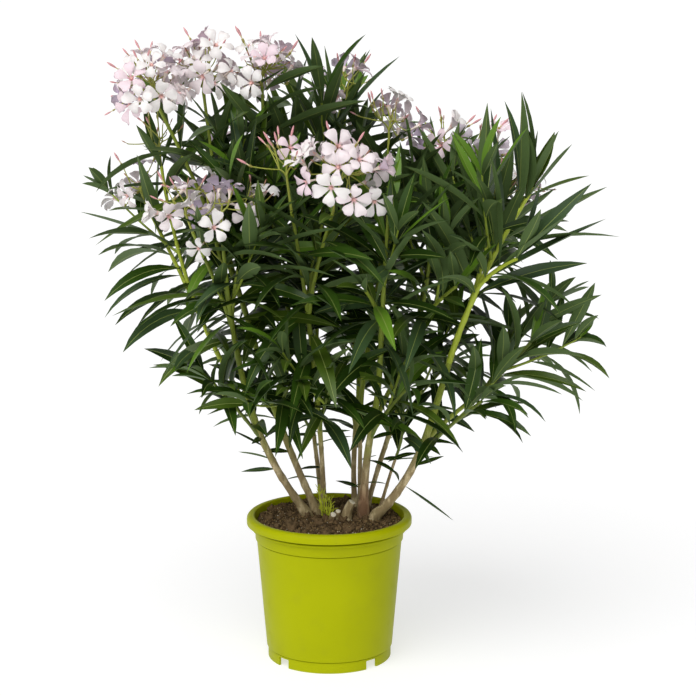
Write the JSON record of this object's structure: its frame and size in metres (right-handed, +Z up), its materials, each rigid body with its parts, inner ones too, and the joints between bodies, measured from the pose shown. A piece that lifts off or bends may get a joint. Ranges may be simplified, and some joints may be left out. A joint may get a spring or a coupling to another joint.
{
  "type": "potted oleander shrub",
  "caption": "Oleander grown as a many-stemmed shrub, with whorled lance-shaped leaves and clusters of pale pink flowers, in a round nursery pot with a rolled rim.",
  "frame": {"origin": "under the middle of the plant's outline from above, on the surface that the pot stands on; the pot's axis stands 21 mm to the left of it and 40 mm in front of it, because the crown leans back and to the right", "axes": "+Z up, the front looks along -Y, +X to the right as seen from the front"},
  "size_m": [0.7568, 0.5615, 0.9158],
  "materials": {
    "pot_plastic": "smooth, softly glossy lime green plastic",
    "compost": "coarse, moist dark brown compost",
    "bark": "thin grey-tan bark with fine lengthwise wrinkles",
    "green_wood": "smooth, green-brown young wood",
    "foliage": "leathery dark green leaves and pale pink flowers",
    "sprouts": "soft, bright green young shoots"
  },
  "bodies": {
    "root": {"pot": "pot_plastic", "compost": "compost", "stem_left_outer": "bark", "stem_left_inner": "bark", "stem_mid_left": "bark", "stem_mid_right": "bark", "stem_back": "bark", "stem_mid_thin": "bark", "stem_centre": "bark", "stem_back_right": "bark", "stem_right": "bark", "stem_low_right": "bark", "bough_left_front": "green_wood", "bough_left_side": "green_wood", "bough_left_top": "green_wood", "bough_top_left": "green_wood", "bough_top_centre": "green_wood", "bough_centre_front": "green_wood", "bough_back": "green_wood", "bough_back_left": "green_wood", "bough_back_centre": "green_wood", "bough_centre": "green_wood", "bough_centre_right": "green_wood", "bough_back_right": "green_wood", "bough_right": "green_wood", "bough_right_low": "green_wood", "stump_large": "bark", "stump_small_left": "bark", "stump_small_right": "bark", "sprouts": "sprouts", "foliage_left_front": "foliage", "foliage_left_side": "foliage", "foliage_left_top": "foliage", "foliage_top_left": "foliage", "foliage_top_centre": "foliage", "foliage_centre_front": "foliage", "foliage_centre": "foliage", "foliage_centre_right": "foliage", "foliage_back_centre": "foliage", "foliage_back": "foliage", "foliage_back_left": "foliage", "foliage_back_right": "foliage", "foliage_right": "foliage", "foliage_right_low": "foliage", "foliage_low_left": "foliage", "foliage_low_inner": "foliage", "foliage_low_centre": "foliage", "foliage_low_front": "foliage", "foliage_low_right": "foliage", "foliage_low_back_left": "foliage", "foliage_low_back": "foliage", "foliage_low_back_right": "foliage", "foliage_low_twig": "foliage"}
  },
  "joints": []
}
